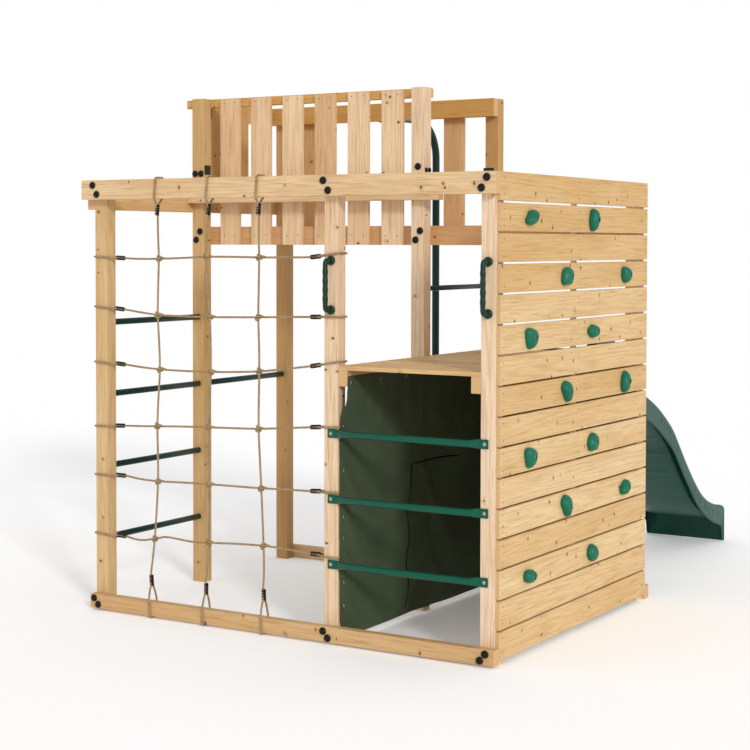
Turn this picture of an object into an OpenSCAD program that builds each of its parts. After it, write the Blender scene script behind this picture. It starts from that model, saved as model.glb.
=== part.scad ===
// A timber climbing frame: a rock wall with bolted holds, a rope net, tube rungs,
// a low deck with a slide and a cloth den, and a guarded platform with a pole.
// X runs along the front from the net to the rock wall, Y runs to the back, Z is up.

/* [Frame] */
// Width from the outer face of the left posts to the outer face of the rock wall
frame_w = 2115; // [1900:5:2600]
// Depth from the front of the front posts to the back of the back posts
frame_d = 1535; // [1400:5:1900]
// Height of the front beam and of the top of the rock wall
beam_top = 2000; // [1950:5:2400]
// Height of the four tall posts that carry the platform guard
tower_top = 2432; // [2350:1:2900]
// Left face of the three middle posts, from the left face of the frame
middle_x = 1272; // [1100:1:1400]

/* [Timber] */
// Width of a post, along X
post_w = 70; // [60:1:90]
// Depth of a post, along Y
post_d = 60; // [50:1:80]
// Thickness of a beam or rail
beam_t = 45; // [35:1:60]
// Height of a beam or rail
beam_h = 90; // [70:1:110]
// Height of a ground sill
sill_h = 66; // [50:1:90]
// Height of the slim rail on top of the inner guard
cap_rail_h = 42; // [35:1:60]
// Width of the deck and platform boards and the pickets
board_w = 116; // [95:1:125]
// Thickness of every planed board and picket
board_t = 18; // [15:1:25]

/* [Rock wall] */
// Number of boards in the rock wall
wall_rows = 16; // [12:1:17]
// Gap between two boards of the rock wall
wall_gap = 8; // [3:1:12]
// Width of the upright batten behind the boards
batten_w = 30; // [25:1:60]
// How far a hold stands off the boards
hold_proj = 38; // [25:1:60]
// Length of a hold
hold_size = 84; // [60:1:110]
// Diameter of the bolt through a hold
hold_bolt_d = 10; // [8:1:12]

/* [Deck and platform] */
// Height of the walking surface of the slide deck
deck_top = 1190; // [900:5:1300]
// Number of deck boards
deck_rows = 12; // [9:1:13]
// Height of a deck joist
joist_h = 70; // [50:1:100]
// Height of the underside of the platform rails
floor_rail_z = 1703; // [1600:1:1800]
// Number of platform boards
platform_rows = 10; // [7:1:11]
// Number of pickets in the inner guard
inner_pickets = 6; // [4:1:8]
// Number of pickets in the left guard
left_pickets = 3; // [2:1:5]

/* [Tubes] */
// Diameter of the round rungs
rung_d = 29; // [22:1:34]
// Height of the lowest front rung
front_rung_z = 338; // [250:1:400]
// Distance between two front rungs
front_rung_pitch = 281; // [230:1:300]
// Height of the lowest rung in the left side
side_rung_z = 332; // [250:1:400]
// Distance between two rungs in the left side
side_rung_pitch = 336; // [250:1:350]
// Diameter of the step bar below the platform
step_bar_d = 24; // [20:1:30]
// Diameter of the pole
pole_d = 40; // [35:1:48]
// Distance from the back rail to the pole
pole_reach = 582; // [400:5:800]
// Distance between the two feet of a hand grip
grip_pitch = 210; // [180:1:240]

/* [Rope net] */
// Diameter of the rope
rope_d = 10; // [6:1:12]
// Length of a ferrule
ferrule_l = 50; // [40:1:70]
// Diameter of a ferrule
ferrule_d = 20; // [18:1:30]

/* [Slide and den] */
// Outer width of the slide
slide_w = 470; // [400:5:520]
// Wall thickness of the slide
slide_t = 6; // [4:1:10]
// Thickness of the den cloth
cloth_t = 4; // [2:1:6]

/* [Hidden] */

// Clearances
fit = 0.5;          // round tube in its socket, on the radius
cloth_gap = 0.5;    // cloth to the timber that it hangs beside
slip = 2;           // board end to the piece that it stops short of
sill_lift = rope_d; // the net ropes pass below the sill

// Colours
pine = "#DDBE94";
pine_dark = "#C99E68";
green = "#0F7D63";
dark_green = "#14443A";
black = "#1C201E";
rope_tan = "#A98A63";
steel = "#B8BCBD";
cloth_green = "#3C4A3C";

// Places that the rest is set out from
mid_y = (frame_d - post_d) / 2;
back_y = frame_d - post_d;
wall_x = frame_w - board_t;
right_x = wall_x - post_w;
inner_x = middle_x + post_w;
rail_y = mid_y + post_d;
back_rail_y = back_y - beam_t;
floor_rail_top = floor_rail_z + beam_h;
wall_low = 24;
wall_pitch = (beam_top - wall_low + wall_gap) / wall_rows;
wall_board_w = wall_pitch - wall_gap;
picket_top = tower_top - 5;
side_beam_z = beam_top - 45 - beam_h;
cap_h = 11;
cap_d = 33;

// How far a hand grip stands off its post
grip_d = 24;
grip_stand = 22;
grip_arc = 26;
grip_out = grip_stand + grip_arc + grip_d / 2;

// Origin: middle of the footprint, on the ground
slide_end = frame_d + 1735;
guard_over = 80; // the inner guard's rail runs past the left post
x_low = -guard_over;
x_high = frame_w + hold_proj;
y_low = -max(beam_t + cap_h, grip_out);
y_high = slide_end;
module placed() {
    translate([-(x_low + x_high) / 2, -(y_low + y_high) / 2, 0]) children();
}

// A timber of square section between two corners
module timber(x, y, z) {
    translate([x[0], y[0], z[0]]) cube([x[1] - x[0], y[1] - y[0], z[1] - z[0]]);
}

// Where n pieces of one width stand between two ends with equal gaps
function spread(n, w, a, b) =
    let (gap = (b - a - n * w) / (n + 1))
    [for (i = [0:n - 1]) a + gap + i * (w + gap)];

// ---- Posts ----
socket_depth = 20;
side_rung_heights = [for (i = [0:3]) side_rung_z + i * side_rung_pitch];
platform_bar_z = side_rung_heights[2];
step_bar_z = (deck_top + floor_rail_top + board_t) / 2;
rung_x = post_w / 2;
step_x = middle_x + post_w / 2;

// A blind hole for a tube that runs along Y; side is 1 where the mouth faces +Y
module socket(x, y, z, d, side) {
    start = side > 0 ? y - socket_depth : y - slip;
    translate([x, start, z]) rotate([-90, 0, 0])
        cylinder(d = d + 2 * fit, h = socket_depth + slip, $fn = 48);
}
module post(x, y, top) {
    timber([x, x + post_w], [y, y + post_d], [0, top]);
}
module post_front_left() {
    color(pine) placed() difference() {
        post(0, 0, beam_top);
        for (z = side_rung_heights) socket(rung_x, post_d, z, rung_d, 1);
    }
}
module post_front_middle() { color(pine) placed() post(middle_x, 0, beam_top); }
module post_front_right() { color(pine) placed() post(right_x, 0, beam_top); }
module post_mid_left() {
    color(pine) placed() difference() {
        post(0, mid_y, tower_top);
        for (z = side_rung_heights) socket(rung_x, mid_y, z, rung_d, -1);
        socket(rung_x, rail_y, platform_bar_z, rung_d, 1);
    }
}
module post_mid_inner() {
    color(pine_dark) placed() difference() {
        post(middle_x, mid_y, tower_top);
        socket(step_x, rail_y, step_bar_z, step_bar_d, 1);
    }
}
module post_back_left() {
    color(pine_dark) placed() difference() {
        post(0, back_y, tower_top);
        socket(rung_x, back_y, platform_bar_z, rung_d, -1);
    }
}
module post_back_inner() {
    color(pine_dark) placed() difference() {
        post(middle_x, back_y, tower_top);
        socket(step_x, back_y, step_bar_z, step_bar_d, -1);
    }
}
module post_back_right() { color(pine) placed() post(right_x, back_y, beam_top); }

// ---- Beams, rails and sills ----
mid_beam_end = inner_x + 100;
cap_rail_end = inner_x - 12;
module front_beam() {
    color(pine) placed() timber([-beam_t, frame_w], [-beam_t, 0], [beam_top - beam_h, beam_top]);
}
module front_sill() {
    color(pine) placed() timber([0, frame_w], [-beam_t, 0], [sill_lift, sill_lift + sill_h]);
}
module mid_beam() {
    color(pine_dark) placed()
        timber([0, mid_beam_end], [mid_y - beam_t, mid_y], [beam_top - beam_h, beam_top]);
}
module mid_floor_rail() {
    color(pine_dark) placed()
        timber([0, wall_x], [rail_y, rail_y + beam_t], [floor_rail_z, floor_rail_top]);
}
module mid_guard_rail() {
    color(pine) placed()
        timber([-guard_over, cap_rail_end], [rail_y, rail_y + beam_t], [tower_top - cap_rail_h, tower_top]);
}
module back_guard_rail() {
    color(pine_dark) placed()
        timber([-beam_t, inner_x], [back_rail_y, back_y], [tower_top - beam_h, tower_top]);
}
module back_floor_rail() {
    color(pine_dark) placed()
        timber([0, wall_x], [back_rail_y, back_y], [floor_rail_z, floor_rail_top]);
}
module back_sill() {
    color(pine_dark) placed()
        timber([0, frame_w], [frame_d, frame_d + beam_t], [0, sill_h]);
}
module side_beam() {
    color(pine_dark) placed()
        timber([-beam_t, 0], [0, frame_d], [side_beam_z, side_beam_z + beam_h]);
}
module side_guard_rail() {
    color(pine_dark) placed()
        timber([-beam_t, 0], [rail_y + beam_t, back_rail_y], [tower_top - beam_h, tower_top]);
}
module wall_batten() {
    color(pine) placed()
        timber([wall_x - board_t, wall_x], [mid_y, mid_y + batten_w], [wall_low, beam_top]);
}

// ---- Slide deck ----
joist_top = deck_top - board_t;
deck_step = (frame_d - board_w) / (deck_rows - 1);
module joist(x) {
    timber([x, x + beam_t], [0, frame_d], [joist_top - joist_h, joist_top]);
}
module deck_joist_left() { color(pine) placed() joist(inner_x); }
module deck_joist_right() { color(pine) placed() joist(right_x - beam_t); }
module deck_boards() {
    color(pine) placed() for (i = [0:deck_rows - 1]) {
        y = i * deck_step;
        clear_of_posts = y > post_d && y + board_w < back_y;
        end_x = clear_of_posts ? wall_x - board_t - slip : right_x;
        timber([inner_x, end_x], [y, y + board_w], [joist_top, deck_top]);
    }
}

// ---- Guarded platform ----
ledger_t = 30;
platform_z = floor_rail_top - 23;
platform_a = rail_y + beam_t;
platform_x = spread(platform_rows, board_w, board_t, inner_x);
module platform_ledgers() {
    color(pine_dark) placed() for (y = [platform_a, back_rail_y - ledger_t])
        timber([post_w, middle_x], [y, y + ledger_t], [platform_z - beam_t, platform_z]);
}
module platform_boards() {
    color(pine_dark) placed() for (x = platform_x)
        timber([x, x + board_w], [platform_a, back_rail_y], [platform_z, platform_z + board_t]);
}
module inner_guard_pickets() {
    color(pine) placed() for (x = spread(inner_pickets, board_w, post_w, middle_x))
        timber([x, x + board_w], [rail_y - board_t, rail_y], [floor_rail_z, picket_top]);
}
// The two pickets beside the pole's opening
back_picket_gap = 108;
module back_guard_pickets() {
    color(pine_dark) placed()
        for (x = [post_w + back_picket_gap, middle_x - back_picket_gap - board_w - 15])
            timber([x, x + board_w], [back_y, back_y + board_t], [floor_rail_z, picket_top]);
}
module left_guard_pickets() {
    color(pine_dark) placed() for (y = spread(left_pickets, board_w, rail_y, back_y))
        timber([0, board_t], [y, y + board_w], [side_beam_z, picket_top]);
}

// ---- Rock wall ----
module wall_boards() {
    color(pine) placed() for (i = [0:wall_rows - 1]) {
        top = beam_top - i * wall_pitch;
        timber([wall_x, frame_w], [0, frame_d], [top - wall_board_w, top]);
    }
}
// Two holds sit on every second board, in two alternating pairs of columns
hold_columns = [[255, 885], [605, 1250]];
hold_rows = 7;
function hold_z(row) = beam_top - (2 * row + 1) * wall_pitch - wall_board_w / 2;
function hold_y(row, side) = hold_columns[row % 2][side] * frame_d / 1535;
// Outlines of the holds, as points on a unit hold: [along Y, along Z]
diamond = [[-0.50, -0.12], [-0.30, -0.34], [0.02, -0.38], [0.34, -0.10], [0.50, 0.26], [0.24, 0.40],
    [-0.12, 0.30]];
kidney = [[-0.30, -0.55], [0.08, -0.58], [0.16, -0.24], [0.26, 0.10], [0.34, 0.42], [0.06, 0.58],
    [-0.24, 0.40], [-0.38, -0.05]];
notched = [[-0.46, -0.20], [-0.26, -0.44], [0.00, -0.32], [0.20, -0.46], [0.28, -0.10], [0.46, 0.22],
    [0.26, 0.46], [-0.20, 0.42], [-0.44, 0.12]];
round_knob = [for (a = [0:40:320]) 0.42 * [cos(a), 1.05 * sin(a)]];
shield = [[-0.40, 0.42], [-0.44, 0.05], [-0.26, -0.44], [0.04, -0.52], [0.34, -0.28], [0.44, 0.26],
    [0.16, 0.46]];
wide_oval = [for (a = [0:40:320]) [0.50 * cos(a), 0.34 * sin(a)]];
hook = [[-0.40, 0.36], [-0.38, 0.08], [-0.19, -0.16], [-0.04, -0.40], [0.12, -0.56], [0.28, -0.34],
    [0.36, 0.10], [0.34, 0.46], [-0.04, 0.52]];
half_moon = [[-0.50, 0.20], [-0.46, -0.16], [-0.16, -0.30], [0.30, -0.28], [0.50, 0.02], [0.36, 0.26],
    [-0.10, 0.32]];
hold_shapes = [[diamond, kidney], [notched, round_knob], [shield, wide_oval], [hook, kidney],
    [shield, notched], [hook, diamond], [half_moon, round_knob]];
// A hold is a broad foot with a smaller crown on it, and a hole for its bolt
crown = 0.72;
foot_h = 22;
module one_hold(outline) {
    difference() {
        union() {
            linear_extrude(foot_h) polygon(hold_size * outline);
            linear_extrude(hold_proj) polygon(hold_size * crown * outline);
        }
        translate([0, 0, -1]) cylinder(d = hold_bolt_d + 1, h = hold_proj + 2, $fn = 32);
        translate([0, 0, hold_proj - bolt_sink]) cylinder(d = hold_bolt_d + 9, h = hold_proj, $fn = 32);
    }
}
bolt_sink = 12;
// Puts a shape that is drawn on XY against the outer face of the wall
module on_wall(y, z) {
    translate([frame_w, y, z]) rotate([90, 0, 90]) children();
}
module holds_in_row(row) {
    color(green) placed() for (side = [0, 1])
        on_wall(hold_y(row, side), hold_z(row)) one_hold(hold_shapes[row][side]);
}
module holds_row_1() { holds_in_row(0); }
module holds_row_2() { holds_in_row(1); }
module holds_row_3() { holds_in_row(2); }
module holds_row_4() { holds_in_row(3); }
module holds_row_5() { holds_in_row(4); }
module holds_row_6() { holds_in_row(5); }
module holds_row_7() { holds_in_row(6); }
// The bolt heads in the holds
module hold_bolts() {
    color(steel) placed() for (row = [0:hold_rows - 1]) for (side = [0, 1])
        on_wall(hold_y(row, side), hold_z(row)) translate([0, 0, hold_proj - bolt_sink])
            cylinder(d = hold_bolt_d + 6, h = 7, $fn = 32);
}

// ---- Tube rungs ----
// A front rung: a round tube whose flattened ends are bolted to the posts' front faces
tab_w = 46;
tab_h = 38;
tab_t = 5;
neck = 34;
tab_hole = 9;
module front_rung(i) {
    z = front_rung_z + i * front_rung_pitch;
    a = middle_x + 22;
    b = right_x + 36;
    round_y = -rung_d / 2 - 1;
    color(green) placed() {
        translate([a + tab_w + neck, round_y, z]) rotate([0, 90, 0])
            cylinder(d = rung_d, h = b - a - 2 * (tab_w + neck), $fn = 40);
        for (end = [0, 1]) translate([end == 0 ? a : b, 0, z]) mirror([end, 0, 0]) {
            difference() {
                translate([0, -tab_t, -tab_h / 2]) cube([tab_w, tab_t, tab_h]);
                translate([tab_w / 3, 1, 0]) rotate([90, 0, 0])
                    cylinder(d = tab_hole, h = tab_t + 2, $fn = 24);
            }
            hull() {
                translate([tab_w - 1, -tab_t, -tab_h / 2]) cube([1, tab_t, tab_h]);
                translate([tab_w + neck - 1, round_y, 0]) rotate([0, 90, 0])
                    cylinder(d = rung_d, h = 1, $fn = 40);
            }
        }
    }
}
module front_rung_1() { front_rung(0); }
module front_rung_2() { front_rung(1); }
module front_rung_3() { front_rung(2); }

// A straight tube along Y whose ends sit in two sockets
module socket_bar(x, z, d, a, b) {
    translate([x, a - socket_depth + slip, z]) rotate([-90, 0, 0])
        cylinder(d = d, h = b - a + 2 * (socket_depth - slip), $fn = 40);
}
module side_rungs() {
    color(dark_green) placed() {
        for (z = side_rung_heights) socket_bar(rung_x, z, rung_d, post_d, mid_y);
        socket_bar(rung_x, platform_bar_z, rung_d, rail_y, back_y);
    }
}
module step_bar() {
    color(dark_green) placed() socket_bar(step_x, step_bar_z, step_bar_d, rail_y, back_y);
}

// ---- Hand grips ----
grip_z = 1532;
grip_foot_d = 40;
grip_foot_h = 14;
// A bowed grip: two round feet, two bends and a straight middle, on a post's front face
module hand_grip(x) {
    color(dark_green) placed() translate([x, 0, grip_z]) {
        for (side = [-1, 1]) {
            translate([0, 0, side * grip_pitch / 2]) rotate([90, 0, 0])
                cylinder(d = grip_foot_d, h = grip_foot_h, $fn = 40);
            translate([0, -grip_foot_h, side * grip_pitch / 2]) rotate([90, 0, 0])
                cylinder(d = grip_d, h = grip_stand - grip_foot_h, $fn = 40);
            translate([0, -grip_stand, side * (grip_pitch / 2 - grip_arc)])
                rotate([90, 0, 90]) rotate([0, 0, side > 0 ? 90 : 180])
                rotate_extrude(angle = 90, $fn = 40)
                    translate([grip_arc, 0]) circle(d = grip_d, $fn = 40);
        }
        translate([0, -grip_stand - grip_arc, grip_arc - grip_pitch / 2])
            cylinder(d = grip_d, h = grip_pitch - 2 * grip_arc, $fn = 40);
    }
}
module hand_grip_left() { hand_grip(middle_x + 36); }
module hand_grip_right() { hand_grip(right_x + 33); }

// ---- Pole ----
pole_x = 662;
pole_z = tower_top - 60;
pole_bend = 200;
pole_plate = 70;
plate_t = 6;
pole_y = back_y + pole_reach;
module pole() {
    color(dark_green) placed() {
        translate([pole_x, pole_y, 0]) cylinder(d = pole_d, h = pole_z - pole_bend, $fn = 48);
        translate([pole_x, pole_y - pole_bend, pole_z - pole_bend]) rotate([90, 0, 90])
            rotate_extrude(angle = 90, $fn = 64) translate([pole_bend, 0])
            circle(d = pole_d, $fn = 48);
        translate([pole_x, back_y + plate_t, pole_z]) rotate([-90, 0, 0])
            cylinder(d = pole_d, h = pole_reach - pole_bend - plate_t, $fn = 48);
        translate([pole_x, back_y, pole_z]) rotate([-90, 0, 0])
            cylinder(d = pole_plate, h = plate_t, $fn = 48);
        translate([pole_x, pole_y, 0]) cylinder(d = 2 * pole_d, h = plate_t, $fn = 48);
    }
}

// ---- Slide ----
slide_x = inner_x + (right_x - inner_x - slide_w) / 2 - 27;
lip_y = frame_d - 90;
// Side view of the slide, as [distance behind the back posts, height above the deck top]
slide_rim = [[-90, 100], [0, 98], [110, 66], [250, -30], [410, -175], [538, -259], [644, -299],
    [768, -361], [929, -464], [1012, -550], [1097, -638], [1182, -720], [1269, -798],
    [1357, -866], [1447, -914], [1537, -947], [1628, -969], [1710, -980], [1735, -992]];
slide_bed = [[-90, 6], [0, 6], [110, -24], [250, -125], [410, -262], [538, -345], [644, -388],
    [768, -450], [929, -552], [1012, -636], [1097, -722], [1182, -803], [1269, -880],
    [1357, -946], [1447, -994], [1537, -1026], [1628, -1046], [1700, -1056], [1735, -1060]];
slide_skirt = [[14, -12], [110, -42], [250, -138], [410, -288], [550, -382], [646, -416],
    [771, -480], [932, -577], [1014, -655], [1099, -742], [1185, -820], [1272, -902],
    [1360, -965], [1449, -1014], [1540, -1054], [1631, -1082], [1705, -1101], [1713, -1190],
    [1735, -1190]];
function at_deck(points) = [for (p = points) [frame_d + p[0], deck_top + p[1]]];
function backward(points) = [for (i = [len(points) - 1:-1:0]) points[i]];
function lowered(points, t) = [for (p = points) [p[0], p[1] - t]];
// An outline on YZ drawn out along X
module along_x(x, w, outline) {
    translate([x, 0, 0]) rotate([90, 0, 90]) linear_extrude(w) polygon(outline);
}
rim_w = 34;
module slide() {
    rim = at_deck(slide_rim);
    bed = at_deck(slide_bed);
    skirt = at_deck(concat([[-90, 0], [2, 0]], slide_skirt));
    color(dark_green) placed() {
        along_x(slide_x, slide_w, concat(bed, backward(lowered(bed, slide_t))));
        for (x = [slide_x, slide_x + slide_w - slide_t])
            along_x(x, slide_t, concat(rim, backward(skirt)));
        for (x = [slide_x, slide_x + slide_w - rim_w])
            along_x(x, rim_w, concat(rim, backward(lowered(rim, slide_t))));
        translate([slide_x, slide_end - slide_t, 0])
            cube([slide_w, slide_t, deck_top - 1060]);
    }
}

// ---- Den cloth ----
den_low = 25;
// The cloth lies on the rope loops that go round the front middle post
cloth_x = inner_x + rope_d + cloth_gap;
cloth_front = 2;
// The side cloth hangs from the left joist and is pulled in to the front middle post
module den_side_cloth() {
    out = beam_t - rope_d;
    top = joist_top - 22;
    shoulder = joist_top - joist_h - 12;
    line = [[out, top], [out, shoulder], [0, shoulder - 110], [0, den_low]];
    back = [for (i = [3:-1:0]) [line[i][0] + cloth_t, line[i][1]]];
    color(cloth_green) placed() translate([cloth_x, back_y - 8, 0]) rotate([90, 0, 0])
        linear_extrude(back_y - 8 - cloth_front) polygon(concat(line, back));
}
module den_back_cloth() {
    color(cloth_green) placed()
        timber([middle_x + 20, wall_x - 8], [back_y - cloth_gap - cloth_t, back_y - cloth_gap],
            [den_low, joist_top - joist_h - 2]);
}

// ---- Rope net ----
// Route points of each rope between its two ferrules: [along the frame, height]
up_routes = [
    [[383, 1835], [380, 1740], [376, 1640], [370, 1500], [367, 1382], [376, 1260], [381, 1135],
        [370, 1000], [363, 874], [367, 750], [368, 622], [358, 480], [348, 358], [345, 270], [345, 195]],
    [[671, 1835], [655, 1740], [642, 1650], [652, 1500], [665, 1380], [668, 1260], [669, 1135],
        [662, 1010], [655, 886], [656, 760], [656, 630], [656, 490], [655, 366], [658, 270], [658, 190]],
    [[944, 1835], [938, 1740], [933, 1648], [930, 1510], [927, 1386], [932, 1260], [933, 1148],
        [930, 1020], [928, 895], [936, 760], [943, 634], [950, 500], [955, 382], [966, 280], [972, 197]]];
across_routes = [
    [[150, 1640], [250, 1637], [376, 1639], [500, 1643], [641, 1650], [790, 1650], [933, 1648],
        [1060, 1649], [1184, 1650]],
    [[145, 1403], [250, 1392], [367, 1382], [510, 1380], [665, 1380], [800, 1383], [927, 1386],
        [1060, 1390], [1184, 1393]],
    [[150, 1147], [260, 1139], [381, 1134], [520, 1133], [669, 1135], [800, 1140], [933, 1148],
        [1060, 1164], [1184, 1180]],
    [[145, 862], [250, 867], [363, 874], [500, 881], [655, 886], [790, 890], [928, 895],
        [1060, 906], [1184, 916]],
    [[150, 629], [250, 621], [368, 621], [510, 627], [656, 630], [800, 632], [943, 634],
        [1060, 637], [1184, 639]],
    [[150, 346], [243, 335], [348, 357], [400, 371], [480, 366], [564, 360], [655, 366], [800, 376],
        [955, 382], [1070, 376], [1184, 367]]];
up_loop_x = [[392, 355], [683, 655], [952, 975]];
across_loop_z = [[1645, 1664], [1412, 1396], [1155, 1200], [858, 926], [630, 646], [353, 367]];
up_plane = -beam_t / 2;
across_net = rope_d + 0.4;
across_plane = post_d / 2;
sides = 8;

// How far through the net a point lies, so that the ropes meet at the crossings
function up_y(i, n) = min(i, n - i) == 0 ? up_plane : min(i, n - i) == 1 ? up_plane / 2 : 0;
function across_y(i, n) = min(i, n - i) == 0 ? across_plane
    : min(i, n - i) == 1 ? (across_plane + across_net) / 2 : across_net;
function up_points(k) = let (r = up_routes[k], n = len(r) - 1)
    [for (i = [0:n]) [r[i][0], up_y(i, n), r[i][1]]];
function across_points(k) = let (r = across_routes[k], n = len(r) - 1)
    [for (i = [0:n]) [r[i][0], across_y(i, n), r[i][1]]];

function unit(v) = v / norm(v);
function heading(p, i) = unit(p[min(i + 1, len(p) - 1)] - p[max(i - 1, 0)]);
// One ring of points round the route; every route here keeps square to side_way
function ring(p, i, d, side_way) =
    let (along = heading(p, i), u = unit(cross(along, side_way)), v = cross(along, u))
    [for (k = [0:sides - 1]) p[i] + d / 2 * (u * cos(360 * k / sides) + v * sin(360 * k / sides))];
module tube(p, d, side_way) {
    n = len(p);
    points = [for (i = [0:n - 1]) each ring(p, i, d, side_way)];
    walls = [for (i = [0:n - 2]) for (k = [0:sides - 1])
        [i * sides + k, (i + 1) * sides + k, (i + 1) * sides + (k + 1) % sides,
            i * sides + (k + 1) % sides]];
    first = [for (k = [0:sides - 1]) k];
    last = [for (k = [sides - 1:-1:0]) (n - 1) * sides + k];
    polyhedron(points, concat([first], walls, [last]), convexity = 4);
}
// A flat loop of rope round a timber of a by b, its ends meeting at the ferrule
module loop(a, b) {
    translate([0, 0, -rope_d / 2]) linear_extrude(rope_d) difference() {
        square([a + 2 * rope_d, b + 2 * rope_d], center = true);
        square([a, b], center = true);
    }
}
// A loop round the middle post can't sit where the deck and its joist touch that post
function clear_of_deck(z) =
    z > joist_top - joist_h - rope_d && z < deck_top + rope_d ? deck_top + rope_d : z;
// Where a rope meets its loop, at its first end or its last
function up_end(k, end) = [up_loop_x[k][end], up_plane,
    end == 0 ? beam_top - beam_h - rope_d / 2 : sill_lift + sill_h + rope_d / 2];
function across_end(k, end) = [end == 0 ? post_w + rope_d / 2 : middle_x - rope_d / 2, across_plane,
    end == 0 ? across_loop_z[k][0] : clear_of_deck(across_loop_z[k][1])];
// The rope goes round the top beam and the sill
module up_rope(k) {
    p = up_points(k);
    sill_mid = sill_lift + sill_h / 2;
    color(rope_tan) placed() {
        tube(p, rope_d, [0, 1, 0]);
        translate([up_loop_x[k][0], up_plane, beam_top - beam_h / 2]) rotate([90, 0, 90])
            loop(beam_t, beam_h);
        translate([up_loop_x[k][1], up_plane, sill_mid]) rotate([90, 0, 90]) loop(beam_t, sill_h);
        tube([p[0], up_end(k, 0)], rope_d, [0, 1, 0]);
        tube([p[len(p) - 1], up_end(k, 1)], rope_d, [0, 1, 0]);
    }
}
module net_rope_up_1() { up_rope(0); }
module net_rope_up_2() { up_rope(1); }
module net_rope_up_3() { up_rope(2); }
// The rope goes round the left post and the front middle post
module across_rope(k) {
    p = across_points(k);
    z = across_loop_z[k];
    color(rope_tan) placed() {
        tube(p, rope_d, [0, 1, 0]);
        translate([post_w / 2, across_plane, z[0]]) loop(post_w, post_d);
        translate([middle_x + post_w / 2, across_plane, clear_of_deck(z[1])]) loop(post_w, post_d);
        tube([across_end(k, 0), p[0]], rope_d, [0, 1, 0]);
        tube([p[len(p) - 1], across_end(k, 1)], rope_d, [0, 1, 0]);
    }
}
module net_rope_across_1() { across_rope(0); }
module net_rope_across_2() { across_rope(1); }
module net_rope_across_3() { across_rope(2); }
module net_rope_across_4() { across_rope(3); }
module net_rope_across_5() { across_rope(4); }
module net_rope_across_6() { across_rope(5); }

// A ferrule is a hard sleeve that grips the rope where its loop closes
module ferrule(from, to) {
    way = unit(to - from);
    tilt = acos(way[2]);
    turn = atan2(way[1], way[0]);
    translate(from) rotate([0, tilt, turn]) difference() {
        cylinder(d = ferrule_d, h = ferrule_l, $fn = 32);
        translate([0, 0, -1]) cylinder(d = rope_d, h = ferrule_l + 2, $fn = 32);
    }
}
module rope_ferrules() {
    color(black) placed() {
        for (k = [0:2]) {
            p = up_points(k);
            ferrule(p[0], up_end(k, 0));
            ferrule(p[len(p) - 1], up_end(k, 1));
        }
        for (k = [0:5]) {
            p = across_points(k);
            ferrule(p[0], across_end(k, 0));
            ferrule(p[len(p) - 1], across_end(k, 1));
        }
    }
}

// ---- Bolt caps and brackets ----
cap_dx = 12;
module cap(d = cap_d) {
    rotate([90, 0, 0]) {
        cylinder(d = d, h = cap_h - 5, $fn = 32);
        cylinder(d = d - 10, h = cap_h, $fn = 32);
    }
}
// Two caps on a slant: lean is 1 where the upper cap is the right one
module cap_pair(x, y, z, lean, dz) {
    for (s = [-1, 1]) translate([x + s * lean * cap_dx, y, z + s * dz]) cap();
}
module bolt_caps() {
    sill_mid = sill_lift + sill_h / 2;
    beam_mid = beam_top - beam_h / 2;
    rail_mid = floor_rail_z + beam_h / 2;
    color(black) placed() {
        for (z = [[beam_mid, 21], [sill_mid, 14]]) {
            cap_pair(post_w / 2, -beam_t, z[0], -1, z[1]);
            cap_pair(middle_x + post_w / 2, -beam_t, z[0], -1, z[1]);
            cap_pair(right_x + post_w / 2, -beam_t, z[0], 1, z[1]);
        }
        cap_pair(post_w / 2, mid_y, rail_mid, 1, 21);
        cap_pair(middle_x + post_w / 2, mid_y, rail_mid, 1, 21);
        for (x = [17, 53]) translate([x, mid_y, beam_top + 58]) cap();
        translate([middle_x + post_w / 2, mid_y, beam_top + 66]) cap();
        for (y = [15, 45]) translate([inner_x, mid_y + y, beam_top + 50])
            rotate([0, 0, 90]) cap(24);
    }
}
// A plate on the tall left post and an angle clip on the front right post
bracket = 46;
bracket_t = 4;
module corner_brackets() {
    color(black) placed() {
        translate([post_w, mid_y + 7, beam_top + 54]) cube([bracket_t, bracket, bracket]);
        translate([right_x + 8, 0, beam_top]) cube([bracket, bracket, bracket_t]);
        translate([right_x + 8, 0, beam_top]) cube([bracket, bracket_t, 14]);
    }
}

post_front_left();
post_front_middle();
post_front_right();
post_mid_left();
post_mid_inner();
post_back_left();
post_back_inner();
post_back_right();
front_beam();
front_sill();
mid_beam();
mid_floor_rail();
mid_guard_rail();
back_guard_rail();
back_floor_rail();
back_sill();
side_beam();
side_guard_rail();
wall_batten();
deck_joist_left();
deck_joist_right();
deck_boards();
platform_ledgers();
platform_boards();
inner_guard_pickets();
back_guard_pickets();
left_guard_pickets();
wall_boards();
holds_row_1();
holds_row_2();
holds_row_3();
holds_row_4();
holds_row_5();
holds_row_6();
holds_row_7();
hold_bolts();
front_rung_1();
front_rung_2();
front_rung_3();
side_rungs();
step_bar();
hand_grip_left();
hand_grip_right();
pole();
slide();
den_side_cloth();
den_back_cloth();
net_rope_up_1();
net_rope_up_2();
net_rope_up_3();
net_rope_across_1();
net_rope_across_2();
net_rope_across_3();
net_rope_across_4();
net_rope_across_5();
net_rope_across_6();
rope_ferrules();
bolt_caps();
corner_brackets();
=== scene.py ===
# %% [markdown]
# # A timber climbing frame with a rock wall
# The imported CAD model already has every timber, tube and bolt in its right place and size.
# This lesson adds what CAD leaves out: the look of planed pine, laid rope, moulded plastic,
# powder coat and hanging cloth. Everything is in metres, in the frame of the CAD model.

# %% Load the CAD model
import math
import random
import bmesh
import bpy
from mathutils import Matrix, Vector


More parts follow.
